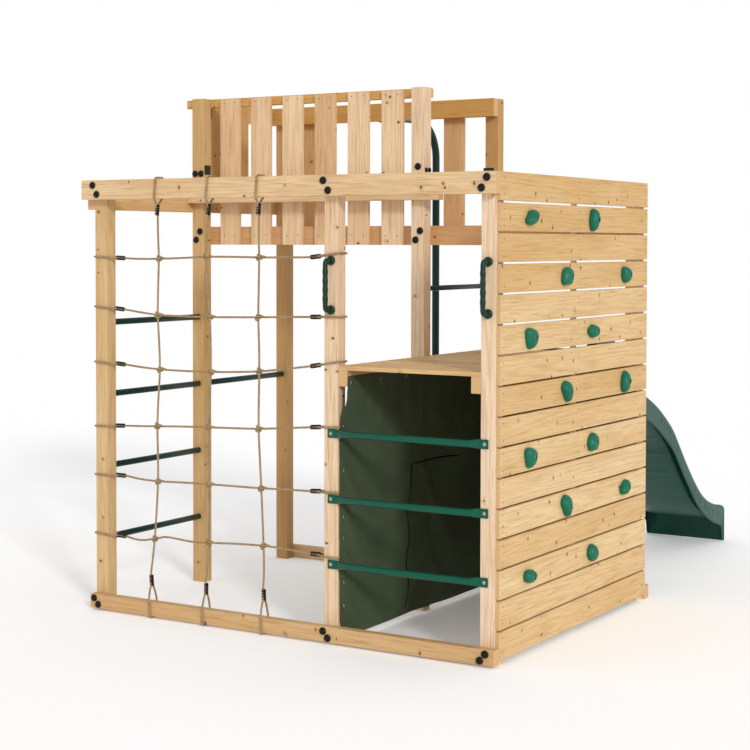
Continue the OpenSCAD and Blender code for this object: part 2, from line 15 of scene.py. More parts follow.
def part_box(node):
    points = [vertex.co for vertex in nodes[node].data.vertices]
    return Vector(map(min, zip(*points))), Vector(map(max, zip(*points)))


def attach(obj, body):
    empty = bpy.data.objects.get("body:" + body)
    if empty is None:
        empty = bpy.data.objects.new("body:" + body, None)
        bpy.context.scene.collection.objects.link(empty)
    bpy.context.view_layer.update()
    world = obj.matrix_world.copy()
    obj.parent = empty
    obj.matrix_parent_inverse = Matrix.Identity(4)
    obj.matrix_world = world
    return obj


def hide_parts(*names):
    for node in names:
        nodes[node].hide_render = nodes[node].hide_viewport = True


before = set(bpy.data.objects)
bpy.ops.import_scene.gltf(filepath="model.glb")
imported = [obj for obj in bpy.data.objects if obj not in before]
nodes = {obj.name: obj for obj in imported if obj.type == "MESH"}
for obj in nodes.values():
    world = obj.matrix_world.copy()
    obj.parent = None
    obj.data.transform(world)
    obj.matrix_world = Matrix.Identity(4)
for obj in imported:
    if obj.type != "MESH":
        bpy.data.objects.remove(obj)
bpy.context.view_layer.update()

random.seed(7)

# %% [markdown]
# ## Places
# All places below are measured from one corner of the frame: the outer front corner of the
# left front post, on the ground. One helper turns such a place into the CAD frame, so that the
# numbers stay easy to compare with the real object.

# %% A helper for places
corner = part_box("post_front_left")[0]


def at(x, y, z):
    """A place measured from the frame's outer left front corner, in metres."""
    return Vector((corner.x + x, corner.y + y, corner.z + z))


print("corner of the frame:", [round(c, 4) for c in corner])

# %% [markdown]
# ## Camera
# The camera stands to the right of the middle at adult chest height, about eight metres away,
# with a long lens, as for a catalogue. It is made first.

# %% Make the camera
camera_data = bpy.data.cameras.new("camera")
camera = bpy.data.objects.new("camera", camera_data)
bpy.context.scene.collection.objects.link(camera)
camera.location = at(5.1772, -5.9851, 1.708)
camera.rotation_euler = (math.radians(87.99), math.radians(-0.1), math.radians(31.39))
camera_data.lens = 80.39
camera_data.sensor_width = 36
camera_data.shift_y = -0.0964
camera_data.clip_end = 100
bpy.context.scene.camera = camera
bpy.context.scene.view_settings.view_transform = "Standard"
print("camera at", [round(c, 3) for c in camera.location])

# %% [markdown]
# ## Small tools
# Colours are written as sRGB hex codes and turned into the linear values that the renderer
# works in. Meshes are built with bmesh. A finished piece sits at the origin with its place in
# its mesh, rides on the frame's one body, and hides the CAD parts it stands for.

# %% Colour and mesh helpers


def colour(code):
    """An sRGB hex code as linear red, green, blue and alpha."""
    parts = [int(code[i:i + 2], 16) / 255 for i in (1, 3, 5)]
    linear = [c / 12.92 if c <= 0.04045 else ((c + 0.055) / 1.055) ** 2.4 for c in parts]
    return (*linear, 1.0)


def piece(name, mesh, material, stands_for=(), smooth=True):
    """Turns a bmesh into a finished piece with a material."""
    data = bpy.data.meshes.new(name)
    bmesh.ops.recalc_face_normals(mesh, faces=mesh.faces)
    mesh.to_mesh(data)
    mesh.free()
    for face in data.polygons:
        face.use_smooth = smooth
    made = bpy.data.objects.new(name, data)
    bpy.context.scene.collection.objects.link(made)
    data.materials.append(material)
    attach(made, "root")
    if stands_for:
        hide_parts(*stands_for)
    return made


def rounded(points, passes=3):
    """A route with its corners cut off again and again, which leaves a smooth curve."""
    for _ in range(passes):
        cut = [points[0]]
        for a, b in zip(points, points[1:]):
            cut += [a.lerp(b, 0.25), a.lerp(b, 0.75)]
        points = cut + [points[-1]]
    return points


def evenly(points, step):
    """The same route with a point at every step."""
    lengths = [(b - a).length for a, b in zip(points, points[1:])]
    total = sum(lengths)
    count = max(2, round(total / step))
    out, i, walked = [], 0, 0.0
    for k in range(count + 1):
        want = total * k / count
        while i < len(lengths) - 1 and walked + lengths[i] < want:
            walked += lengths[i]
            i += 1
        share = (want - walked) / lengths[i] if lengths[i] else 0
        out.append(points[i].lerp(points[i + 1], min(share, 1)))
    return out


def route_length(points):
    """The length of a route from its first point to its last."""
    return sum((b - a).length for a, b in zip(points, points[1:]))


def skin(mesh, rings):
    """Joins each ring of vertices to the next one with faces, and closes both ends."""
    sides = len(rings[0])
    for a, b in zip(rings, rings[1:]):
        for k in range(sides):
            mesh.faces.new((a[k], a[(k + 1) % sides], b[(k + 1) % sides], b[k]))
    mesh.faces.new(rings[0][::-1])
    mesh.faces.new(rings[-1])


def sweep(mesh, route, shape, sides):
    """Sweeps rings along a route. shape(share, angle) gives the distance from the centreline."""
    normal = None
    rings = []
    last = len(route) - 1
    for i, point in enumerate(route):
        ahead = (route[min(i + 1, last)] - route[max(i - 1, 0)]).normalized()
        if normal is None:
            normal = ahead.orthogonal().normalized()
        normal = (normal - ahead * normal.dot(ahead)).normalized()
        side = ahead.cross(normal)
        ring = []
        for k in range(sides):
            angle = 2 * math.pi * k / sides
            reach = shape(i / last, angle)
            ring.append(mesh.verts.new(
                point + reach * (normal * math.cos(angle) + side * math.sin(angle))))
        rings.append(ring)
    skin(mesh, rings)
    return rings


def lathe(mesh, profile, matrix, sides=32):
    """Turns a profile of (radius, height) points round the local Z axis."""
    rings = []
    for radius, height in profile:
        ring = []
        for k in range(sides):
            angle = 2 * math.pi * k / sides
            ring.append(mesh.verts.new(
                matrix @ Vector((radius * math.cos(angle), radius * math.sin(angle), height))))
        rings.append(ring)
    skin(mesh, rings)


print("helpers ready")

# %% [markdown]
# ## Materials
# Each material is a small network of shader nodes. One function adds a node, sets its values
# and returns it, which keeps each network short enough to read. The others name the few kinds
# of node that come back again and again.

# %% A function that adds one node


def feed(tree, node, inputs):
    """Gives a node's inputs their values, or links the sockets that feed them."""
    for key, value in inputs.items():
        if isinstance(value, bpy.types.NodeSocket):
            tree.links.new(value, node.inputs[key])
        else:
            node.inputs[key].default_value = value


def add(tree, kind, inputs=None, **settings):
    """Adds one shader node and returns it."""
    made = tree.nodes.new("ShaderNode" + kind)
    for key, value in settings.items():
        setattr(made, key, value)
    feed(tree, made, inputs or {})
    return made


def new_material(name):
    """An empty material with its principled shader."""
    made = bpy.data.materials.new(name)
    made.use_nodes = True
    shader = made.node_tree.nodes["Principled BSDF"]
    return made, made.node_tree, shader


def calc(tree, operation, a, b=0.0):
    """One arithmetic node."""
    return add(tree, "Math", {0: a, 1: b}, operation=operation).outputs[0]


def times(tree, a, b):
    """The product of two values."""
    return calc(tree, "MULTIPLY", a, b)


def plus(tree, a, b):
    """The sum of two values."""
    return calc(tree, "ADD", a, b)


def mix(tree, factor, a, b):
    """One colour mix node; its sockets 6 and 7 are the two colours."""
    return add(tree, "Mix", {"Factor": factor, 6: a, 7: b}, data_type="RGBA").outputs[2]


def noise(tree, place, scale, detail, rough=0.5, dimensions="3D"):
    """Soft random values; the higher the scale, the smaller the spots."""
    return add(tree, "TexNoise", {"Vector": place, "Scale": scale, "Detail": detail,
                                  "Roughness": rough}, noise_dimensions=dimensions).outputs[0]


def spread(tree, value, low, high):
    """Maps low to high onto 0 to 1 with soft ends."""
    return add(tree, "MapRange", {"Value": value, "From Min": low, "From Max": high},
               interpolation_type="SMOOTHSTEP").outputs[0]


def bump(tree, shader, height, depth, strength=1.0):
    """A relief of the given depth in metres."""
    made = add(tree, "Bump", {"Height": height, "Distance": depth, "Strength": strength})
    tree.links.new(made.outputs[0], shader.inputs["Normal"])


print("node helper ready")

# %% [markdown]
# ### Planed pine
# Pine shows soft growth rings as long streaks, fine fibres, and brown knots that the streaks
# flow round. Every board is a different piece of tree, so each needs its own streaks and tone.
# The pattern works in two distances: along the grain, and across it. Knots are the middles of
# Voronoi cells about 125 by 165 mm. Which board a point is on comes from its place across the
# row of boards, and that number moves and tints the pattern. Faces that look along the grain
# show arcs of the rings instead.

# %% The pine material
AXES = "XYZ"


def pine(name, along, pale, golden, row=None, knots=0.45):
    """Planed pine with its grain along an axis. row is (axis, first edge, pitch) of the boards."""
    made, tree, shader = new_material(name)
    spot = add(tree, "TexCoord").outputs
    axes = add(tree, "SeparateXYZ", {0: spot["Object"]}).outputs
    facing = add(tree, "SeparateXYZ", {0: spot["Normal"]}).outputs[AXES.index(along)]
    across = [axes[AXES.index(a)] for a in AXES if a != along]
    if row:
        axis, first, pitch = row
        shifted = calc(tree, "SUBTRACT", axes[AXES.index(axis)], first)
        board = calc(tree, "FLOOR", calc(tree, "DIVIDE", shifted, pitch))
    else:
        board = add(tree, "ObjectInfo").outputs["Random"]
    chance = add(tree, "TexWhiteNoise", {"W": times(tree, board, 3.71)}, noise_dimensions="1D")
    draws = add(tree, "SeparateColor", {0: chance.outputs["Color"]}).outputs
    u = plus(tree, axes[AXES.index(along)], times(tree, draws[0], 17.0))
    v = plus(tree, plus(tree, *across), times(tree, draws[1], 11.0))

    def stretched(along_scale, across_scale):
        """The point on the board, stretched by its own scale in each of the two distances."""
        return add(tree, "CombineXYZ", {0: times(tree, u, along_scale),
                                        1: times(tree, v, across_scale)}).outputs[0]

    # Knots, and how strongly the grain flows round them.
    cells = add(tree, "TexVoronoi", {"Vector": stretched(8.0, 6.0), "Scale": 1.0},
                voronoi_dimensions="2D")
    distance = cells.outputs["Distance"]
    cell_draw = add(tree, "SeparateColor", {0: cells.outputs["Color"]}).outputs[0]
    present = calc(tree, "LESS_THAN", cell_draw, knots)
    size = plus(tree, 0.025, times(tree, cell_draw, 0.055))
    outside = spread(tree, calc(tree, "DIVIDE", distance, size), 0.6, 1.15)
    knot = times(tree, present, calc(tree, "SUBTRACT", 1.0, outside))
    far_off = spread(tree, distance, 0.02, 0.17)
    flow = times(tree, present, calc(tree, "SUBTRACT", 1.0, far_off))

    # Growth rings, fibres, flecks and cloudy changes of tone.
    waves = noise(tree, stretched(0.30, 9.0), 1.0, 2.0, 0.45, "2D")
    phase = plus(tree, times(tree, waves, 85.0), times(tree, flow, 4.0))
    rings = spread(tree, calc(tree, "SINE", phase), -0.3, 1.0)
    fibre = noise(tree, stretched(9.0, 420.0), 1.0, 2.0, 0.5, "2D")
    streak = noise(tree, stretched(5.0, 150.0), 1.0, 1.0, 0.5, "2D")
    cloudy = noise(tree, stretched(1.3, 7.0), 1.0, 1.0, 0.5, "2D")

    # The pale wood is tinted first, and each mark then darkens it by its own amount and colour.
    clouds = times(tree, spread(tree, cloudy, 0.35, 0.75), 0.35)
    tint = plus(tree, times(tree, draws[2], 0.75), clouds)
    face = mix(tree, tint, colour(pale), colour(golden))
    marks = ((rings, 0.24, "#B27F45"),
             (spread(tree, fibre, 0.35, 0.75), 0.24, "#9C6B38"),
             (calc(tree, "POWER", flow, 3.0), 0.34, "#A86F38"),
             (spread(tree, streak, 0.60, 0.76), 0.30, "#8A5C33"),
             (knot, 0.88, "#5E3517"))
    for mark, amount, code in marks:
        face = mix(tree, times(tree, mark, amount), face, colour(code))

    # Arcs of the rings on the sawn ends.
    shifts = [times(tree, draws[0], 0.3), times(tree, draws[1], 0.3)]
    heart = add(tree, "CombineXYZ", {k: plus(tree, across[k], shifts[k]) for k in (0, 1)})
    radius = add(tree, "VectorMath", {0: heart.outputs[0]}, operation="LENGTH").outputs["Value"]
    arcs = spread(tree, calc(tree, "SINE", times(tree, radius, 1500.0)), -0.2, 1.0)
    end_grain = mix(tree, times(tree, arcs, 0.5), colour("#D4AC7C"), colour("#B08050"))
    is_end = spread(tree, calc(tree, "ABSOLUTE", facing), 0.5, 0.8)

    feed(tree, shader, {"Base Color": mix(tree, is_end, face, end_grain),
                        "Roughness": 0.58, "Specular IOR Level": 0.35})
    relief = plus(tree, times(tree, fibre, 0.6), times(tree, rings, 0.4))
    bump(tree, shader, relief, 0.0004, 0.6)
    return made


PALE, GOLDEN = "#E2C594", "#CFA76B"
print("pine recipe ready")

# %% [markdown]
# ## Pine on the timbers
# The CAD timbers keep their shape. Their faces arrive as loose triangles, so a Weld modifier
# joins them, and a small Bevel gives the eased edge that planed timber has. Each timber gets
# the pine whose grain runs along it.

# %% Put pine on every timber


def row_of(node, axis, pitch, gap):
    """Where the boards of a node start, and how far apart they are."""
    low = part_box(node)[0][AXES.index(axis)]
    return axis, low - gap / 2, pitch


BOARD = 0.116
WALL_TOP, WALL_PITCH = 2.000, 0.124
DECK_TOP, PLATFORM_TOP = 1.190, 1.788


def pitch_of(node, axis, count):
    """The distance from one board of a node to the next."""
    low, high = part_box(node)
    return (high[AXES.index(axis)] - low[AXES.index(axis)] - BOARD) / (count - 1)


deck_pitch = pitch_of("deck_boards", "Y", 12)
platform_pitch = pitch_of("platform_boards", "X", 10)
inner_pitch = pitch_of("inner_guard_pickets", "X", 6)
left_pitch = pitch_of("left_guard_pickets", "Y", 3)

# Pale copies of the pine go on the lit timbers. The darker, more golden copies are painted shade:
# they stand in for the shade on timbers further inside the frame.
woods = [
    (pine("pine_post", "Z", "#F0D7BA", "#E0C09A", None, 0.55),
     ["post_front_middle", "post_front_right", "post_mid_inner", "post_back_right",
      "wall_batten"]),
    # Painted shade: a darker pine copy for the left front and middle posts.
    (pine("left_post_pine_in_shade", "Z", "#DDBE8E", "#C59E66", None, 0.55),
     ["post_front_left", "post_mid_left"]),
    # Painted shade: a still darker, more golden pine copy for the back posts.
    (pine("back_post_pine_in_shade", "Z", "#C99F66", "#AB8148", None, 0.55),
     ["post_back_left", "post_back_inner"]),
    (pine("pine_beam_x", "X", "#E3C59A", "#CDA673", None, 0.60),
     ["front_beam", "front_sill", "mid_beam", "back_sill", "platform_ledgers"]),
    (pine("pine_beam_y", "Y", "#E0BF8E", "#C99D63", None, 0.60),
     ["side_beam", "side_guard_rail", "deck_joist_left", "deck_joist_right"]),
    (pine("pine_wall", "Y", PALE, GOLDEN, row_of("wall_boards", "Z", WALL_PITCH, 0.008), 0.62),
     ["wall_boards"]),
    (pine("pine_deck", "X", PALE, GOLDEN, row_of("deck_boards", "Y", deck_pitch, 0.01), 0.40),
     ["deck_boards"]),
    (pine("pine_platform", "Y", PALE, GOLDEN,
          row_of("platform_boards", "X", platform_pitch, 0.014), 0.40), ["platform_boards"]),
    # Painted shade: a darker, more golden pine copy for the guard rails behind the posts.
    (pine("guard_rail_pine_in_shade", "X", "#D6A862", "#BD8A42", None, 0.50),
     ["mid_guard_rail", "back_guard_rail"]),
    # Painted shade: a darker pine copy for the floor rails under the platform.
    (pine("floor_rail_pine_in_shade", "X", "#D2A475", "#BB8857", None, 0.50),
     ["mid_floor_rail", "back_floor_rail"]),
    (pine("pine_inner_guard", "Z", "#ECCFA9", "#D2A678",
          row_of("inner_guard_pickets", "X", inner_pitch, 0.06), 0.60), ["inner_guard_pickets"]),
    # Painted shade: a darker pine copy for the back guard pickets.
    (pine("back_guard_pine_in_shade", "Z", "#DFB88E", "#C49660",
          row_of("back_guard_pickets", "X", 0.5, 0.1), 0.55), ["back_guard_pickets"]),
    # Painted shade: a darker, more golden pine copy for the left guard pickets, whose inner faces
    # lie in shade.
    (pine("left_guard_pine_in_shade", "Z", "#CFA264", "#B38444",
          row_of("left_guard_pickets", "Y", left_pitch, 0.08), 0.55), ["left_guard_pickets"]),
]


def dress(node, material, width):
    """Gives a CAD part its material, welds it and rounds its edges."""
    part = nodes[node]
    part.data.materials.clear()
    part.data.materials.append(material)
    weld = part.modifiers.new("weld", "WELD")
    weld.merge_threshold = 0.00002
    bevel = part.modifiers.new("bevel", "BEVEL")
    bevel.width = width
    bevel.segments = 2
    bevel.limit_method = "ANGLE"
    bevel.angle_limit = math.radians(40)


for material, members in woods:
    for member in members:
        dress(member, material, 0.0025)
print("timbers dressed:", sum(len(members) for _, members in woods))

# %% [markdown]
# ## Rope net
# The net is tied from three ropes that run up and down and six that run across. Each is 10 mm
# rope laid from three strands, and closes round a timber at both ends, where a hard ferrule
# grips it to itself. A rope is swept along its route as a tube whose section has three lobes,
# turned a little further at every ring, which is exactly how strands lie. The routes are those
# of the CAD ropes, a little slack and never quite straight.

# %% Rope colours and strands
ROPE = 0.010
LAY = 0.048
VALLEY = 0.72


def rope_material():
    """Sandy rope with painted shade between its strands, and paler fuzz on top."""
    made, tree, shader = new_material("laid_rope")
    place = add(tree, "TexCoord").outputs["Object"]
    fuzz = noise(tree, place, 900.0, 3.0)
    patch = noise(tree, place, 45.0, 2.0)
    depth = add(tree, "Attribute", attribute_name="crown").outputs["Fac"]
    lit = mix(tree, spread(tree, patch, 0.3, 0.7), colour("#D2B48A"), colour("#B3946A"))
    # Painted shade: the valleys between the strands are darkened towards near-black brown.
    dark = mix(tree, spread(tree, depth, 0.30, 1.0), colour("#2E2015"), lit)
    dusty = times(tree, spread(tree, fuzz, 0.4, 0.7), 0.35)
    feed(tree, shader, {"Base Color": mix(tree, dusty, dark, colour("#CDB084")),
                        "Roughness": 0.9, "Specular IOR Level": 0.15})
    bump(tree, shader, fuzz, 0.0003)
    return made


rope_look = rope_material()


def laid_rope(mesh, route, diameter):
    """Sweeps three-strand rope and stores how high on a strand each point is."""
    layer = mesh.verts.layers.float.get("crown") or mesh.verts.layers.float.new("crown")
    total = route_length(route)
    crest = 0.5 * diameter

    def shape(share, angle):
        lobe = abs(math.cos(1.5 * (angle - 2 * math.pi * share * total / LAY)))
        return crest * (VALLEY + (1 - VALLEY) * lobe)

    for ring in sweep(mesh, route, shape, 15):
        middle = sum((v.co for v in ring), Vector()) / len(ring)
        for v in ring:
            v[layer] = ((v.co - middle).length / crest - VALLEY) / (1 - VALLEY)


print("rope recipe ready")

# %% [markdown]
# The loops are the fiddly part. Round the top beam the rope leaves the ferrule, goes up behind
# the beam, over it and down the front, and comes back into the ferrule beside itself. The same
# four-sided path serves the beam, the sill and the posts, only with other sizes and directions.

# %% Routes of the ropes
UP = [
    [(0.383, 1.835), (0.380, 1.740), (0.376, 1.640), (0.370, 1.500), (0.367, 1.382),
     (0.376, 1.260), (0.381, 1.135), (0.370, 1.000), (0.363, 0.874), (0.367, 0.750),
     (0.368, 0.622), (0.358, 0.480), (0.348, 0.358), (0.345, 0.270), (0.345, 0.195)],
    [(0.671, 1.835), (0.655, 1.740), (0.642, 1.650), (0.652, 1.500), (0.665, 1.380),
     (0.668, 1.260), (0.669, 1.135), (0.662, 1.010), (0.655, 0.886), (0.656, 0.760),
     (0.656, 0.630), (0.656, 0.490), (0.655, 0.366), (0.658, 0.270), (0.658, 0.190)],
    [(0.944, 1.835), (0.938, 1.740), (0.933, 1.648), (0.930, 1.510), (0.927, 1.386),
     (0.932, 1.260), (0.933, 1.148), (0.930, 1.020), (0.928, 0.895), (0.936, 0.760),
     (0.943, 0.634), (0.950, 0.500), (0.955, 0.382), (0.966, 0.280), (0.972, 0.197)]]
ACROSS = [
    [(0.150, 1.640), (0.250, 1.637), (0.376, 1.639), (0.500, 1.643), (0.641, 1.650),
     (0.790, 1.650), (0.933, 1.648), (1.060, 1.649), (1.184, 1.650)],
    [(0.145, 1.403), (0.250, 1.392), (0.367, 1.382), (0.510, 1.380), (0.665, 1.380),
     (0.800, 1.383), (0.927, 1.386), (1.060, 1.390), (1.184, 1.393)],
    [(0.150, 1.147), (0.260, 1.139), (0.381, 1.134), (0.520, 1.133), (0.669, 1.135),
     (0.800, 1.140), (0.933, 1.148), (1.060, 1.164), (1.184, 1.180)],
    [(0.145, 0.862), (0.250, 0.867), (0.363, 0.874), (0.500, 0.881), (0.655, 0.886),
     (0.790, 0.890), (0.928, 0.895), (1.060, 0.906), (1.184, 0.916)],
    [(0.150, 0.629), (0.250, 0.621), (0.368, 0.621), (0.510, 0.627), (0.656, 0.630),
     (0.800, 0.632), (0.943, 0.634), (1.060, 0.637), (1.184, 0.639)],
    [(0.150, 0.346), (0.243, 0.335), (0.348, 0.357), (0.400, 0.371), (0.480, 0.366),
     (0.564, 0.360), (0.655, 0.366), (0.800, 0.376), (0.955, 0.382), (1.070, 0.376),
     (1.184, 0.367)]]
UP_LOOPS = [(0.392, 0.355), (0.683, 0.655), (0.952, 0.975)]
ACROSS_LOOPS = [(1.645, 1.664), (1.412, 1.396), (1.155, 1.200), (0.858, 0.926),
                (0.630, 0.646), (0.353, 0.367)]
UP_DEPTH, ACROSS_DEPTH, ACROSS_NET = -0.0225, 0.030, 0.0104
BEAM = (0.045, 0.090)
SILL = (0.045, 0.066)
POST = (0.070, 0.060)
SILL_MIDDLE = 0.043
BEAM_MIDDLE = 1.955
LOOP_POINTS = 16
DEEP = Vector((0, 1, 0))


def loop_round(centre, out, side, half_side, half_out, mouth):
    """A rope path of LOOP_POINTS round a timber. out points away from the net, side across it."""
    s, o = half_side + ROPE / 2 + 0.0004, half_out + ROPE / 2 + 0.0004
    grip = 0.52 * ROPE
    flat = [(-grip, -mouth), (-grip, -mouth + 0.045), (-0.6 * s, -0.86 * mouth + 0.045),
            (-s - 0.0015, -o + 0.002), (-s, -0.5 * o), (-s, 0.5 * o), (-s, o), (-0.5 * s, o),
            (0.5 * s, o), (s, o), (s, 0.5 * o), (s, -0.5 * o), (s + 0.0015, -o + 0.002),
            (0.6 * s, -0.86 * mouth + 0.045), (grip, -mouth + 0.045), (grip, -mouth)]
    return [centre + side * a + out * b for a, b in flat]


def depth_at(i, last, ends, net):
    """The ropes come together between the first crossing and the last one."""
    step = min(i, last - i)
    return ends if step == 0 else (ends + net) / 2 if step == 1 else net


routes = {}
for k, route in enumerate(UP):
    last = len(route) - 1
    net = [at(x, depth_at(i, last, UP_DEPTH, 0.0), z) for i, (x, z) in enumerate(route)]
    top_centre = at(UP_LOOPS[k][0], UP_DEPTH, BEAM_MIDDLE)
    low_centre = at(UP_LOOPS[k][1], UP_DEPTH, SILL_MIDDLE)
    top_out = (top_centre - net[0]).normalized()
    low_out = (low_centre - net[-1]).normalized()
    top = loop_round(top_centre, top_out, DEEP, BEAM[0] / 2, BEAM[1] / 2,
                     (top_centre - net[0]).length)
    low = loop_round(low_centre, low_out, -DEEP, SILL[0] / 2, SILL[1] / 2,
                     (low_centre - net[-1]).length)
    routes["net_rope_up_%d" % (k + 1)] = top + net[1:-1] + low[::-1]
for k, route in enumerate(ACROSS):
    last = len(route) - 1
    net = [at(x, depth_at(i, last, ACROSS_DEPTH, ACROSS_NET), z) for i, (x, z) in enumerate(route)]
    left_centre = at(0.035, ACROSS_DEPTH, ACROSS_LOOPS[k][0])
    right_centre = at(1.307, ACROSS_DEPTH, ACROSS_LOOPS[k][1])
    left = loop_round(left_centre, (left_centre - net[0]).normalized(), DEEP,
                      POST[1] / 2, POST[0] / 2, (left_centre - net[0]).length)
    right = loop_round(right_centre, (right_centre - net[-1]).normalized(), -DEEP,
                       POST[1] / 2, POST[0] / 2, (right_centre - net[-1]).length)
    routes["net_rope_across_%d" % (k + 1)] = left + net[1:-1] + right[::-1]
print("rope routes:", {n: round(route_length(r), 3) for n, r in routes.items()})

# %% Sweep the ropes
for name, route in routes.items():
    path = evenly(rounded(route), 0.003)
    mesh = bmesh.new()
    laid_rope(mesh, path, ROPE)
    rope = piece(name.replace("net_rope", "laid_rope"), mesh, rope_look, [name])
print("ropes swept:", len(routes))

# %% [markdown]
# ### Knots and ferrules
# Where two ropes cross, the one that runs across takes two turns round the other and pulls
# tight. A short coil of the same rope gives that lump. The ferrules are black moulded sleeves
# with raised rings, turned on a virtual lathe along each rope's end.

# %% Tie the knots
KNOT_R, KNOT_TURNS, KNOT_STEPS = 0.0095, 2.1, 24
mesh = bmesh.new()
knots = 0
for up_route in UP:
    for across_route in ACROSS:
        x, z, _ = min(((ax, az, abs(ax - ux) + abs(az - uz)) for ax, az in across_route
                       for ux, uz in up_route), key=lambda found: found[2])
        centre = at(x, 0.001, z)
        lean = random.uniform(-0.35, 0.35)
        coil = []
        for i in range(KNOT_STEPS + 1):
            turn = 2 * math.pi * (0.45 + KNOT_TURNS * i / KNOT_STEPS)
            rise = -0.0115 + 0.023 * i / KNOT_STEPS
            coil.append(centre + Vector((KNOT_R * math.cos(turn), KNOT_R * math.sin(turn),
                                         rise + lean * KNOT_R * math.cos(turn))))
        coil = ([centre + Vector((-0.024, KNOT_R, -0.002))] + coil
                + [centre + Vector((0.024, KNOT_R, 0.002))])
        laid_rope(mesh, evenly(rounded(coil, 2), 0.0025), ROPE)
        knots += 1
piece("net_knots", mesh, rope_look)
print("knots:", knots)

# %% [markdown]
# ### Moulded plastic
# Ferrules, caps, grips, holds and the slide share one recipe. It is one colour, mottled so
# faintly that it is felt more than seen, with a fine grain that keeps highlights from looking
# like glass.

# %% A plain moulded plastic


def moulded(name, code, rough, grain_scale=700.0, grain_depth=0.00008, mottle=0.24, shine=0.3):
    """Moulded plastic: one colour with faint mottling and a fine texture from the mould."""
    made, tree, shader = new_material(name)
    place = add(tree, "TexCoord").outputs["Object"]
    grain = noise(tree, place, grain_scale, 2.0)
    cloud = noise(tree, place, 9.0, 2.0)
    base = colour(code)
    darker = (base[0] * 0.6, base[1] * 0.6, base[2] * 0.6, 1)
    patches = times(tree, spread(tree, cloud, 0.3, 0.7), mottle)
    feed(tree, shader, {"Base Color": mix(tree, patches, base, darker),
                        "Roughness": plus(tree, rough, times(tree, grain, 0.10)),
                        "Specular IOR Level": shine})
    bump(tree, shader, grain, grain_depth)
    return made


looks = {
    "ferrule": moulded("black_ferrule_plastic", "#121211", 0.42, shine=0.2),
    "cap": moulded("black_green_cap_plastic", "#0C1411", 0.30, shine=0.2),
    "hold": moulded("green_hold_resin", "#056A50", 0.36, 420.0, 0.0003),
    "grip": moulded("dark_green_grip_plastic", "#0B3023", 0.32),
    "slide": moulded("dark_green_slide_plastic", "#174A3D", 0.34, 300.0, 0.0001),
}
print("plastics:", list(looks))

# %% [markdown]
# Each loop begins and ends side by side in its ferrule, so the ferrule stands between its first
# point and its last. Four rings stand out of the sleeve, with grooves between them.

# %% Turn the ferrules
FERRULE_L, FERRULE_R, GROOVE_R = 0.050, 0.0105, 0.0080
ribbed = [(0.0052, 0.0), (0.0088, 0.0), (0.0100, 0.0015)]
for rib in range(4):
    low = 0.004 + rib * 0.011
    ribbed += [(GROOVE_R, low), (FERRULE_R, low + 0.002),
               (FERRULE_R, low + 0.007), (GROOVE_R, low + 0.009)]
ribbed += [(0.0100, FERRULE_L - 0.0015), (0.0088, FERRULE_L), (0.0052, FERRULE_L)]
mesh = bmesh.new()
for route in routes.values():
    for loop in (route[:LOOP_POINTS], route[:-LOOP_POINTS - 1:-1]):
        middle = (loop[0] + loop[-1]) / 2
        way = (loop[1] - loop[0]).normalized()
        turn = way.to_track_quat("Z", "Y").to_matrix().to_4x4()
        lathe(mesh, ribbed, Matrix.Translation(middle) @ turn)
piece("ribbed_ferrules", mesh, looks["ferrule"], ["rope_ferrules"], smooth=False)
print("ferrules:", 2 * len(routes))

# %% [markdown]
# ## Climbing holds
# A real hold is cast resin: a lumpy pebble with soft edges, a flat back, and a recess for its
# bolt. Each one is lofted from its outline: the outline shrinks as it leaves the wall, the top
# is crowned, and the last rings sink into the round recess. A smooth random push keeps any two
# from looking alike.

# %% Outlines of the holds
DIAMOND = [(-0.50, -0.12), (-0.30, -0.34), (0.02, -0.38), (0.34, -0.10), (0.50, 0.26),
           (0.24, 0.40), (-0.12, 0.30)]
KIDNEY = [(-0.30, -0.55), (0.08, -0.58), (0.16, -0.24), (0.26, 0.10), (0.34, 0.42), (0.06, 0.58),
          (-0.24, 0.40), (-0.38, -0.05)]
NOTCHED = [(-0.46, -0.20), (-0.26, -0.44), (0.00, -0.32), (0.20, -0.46), (0.28, -0.10),
           (0.46, 0.22), (0.26, 0.46), (-0.20, 0.42), (-0.44, 0.12)]
SHIELD = [(-0.40, 0.42), (-0.44, 0.05), (-0.26, -0.44), (0.04, -0.52), (0.34, -0.28),
          (0.44, 0.26), (0.16, 0.46)]
HOOK = [(-0.40, 0.36), (-0.38, 0.08), (-0.19, -0.16), (-0.04, -0.40), (0.12, -0.56),
        (0.28, -0.34), (0.36, 0.10), (0.34, 0.46), (-0.04, 0.52)]
HALF_MOON = [(-0.50, 0.20), (-0.46, -0.16), (-0.16, -0.30), (0.30, -0.28), (0.50, 0.02),
             (0.36, 0.26), (-0.10, 0.32)]


def ellipse(half_wide, half_high):
    """Nine points round an ellipse."""
    turns = [math.radians(a) for a in range(0, 360, 40)]
    return [(half_wide * math.cos(a), half_high * math.sin(a)) for a in turns]


KNOB = ellipse(0.42, 0.44)
OVAL = ellipse(0.50, 0.34)
HOLDS = [(DIAMOND, KIDNEY), (NOTCHED, KNOB), (SHIELD, OVAL), (HOOK, KIDNEY), (SHIELD, NOTCHED),
         (HOOK, DIAMOND), (HALF_MOON, KNOB)]
COLUMNS = [(0.255, 0.885), (0.605, 1.250)]
HOLD, PROUD, RECESS = 0.084, 0.038, 0.0095
print("holds:", 2 * len(HOLDS))

# %% Cast the holds


def closed_curve(points, count):
    """A closed outline smoothed by corner cutting and resampled."""
    ring = [Vector((a, b, 0)) for a, b in points]
    for _ in range(3):
        cut = []
        for a, b in zip(ring, ring[1:] + ring[:1]):
            cut += [a.lerp(b, 0.25), a.lerp(b, 0.75)]
        ring = cut
    return evenly(ring + ring[:1], route_length(ring + ring[:1]) / count)[:-1]


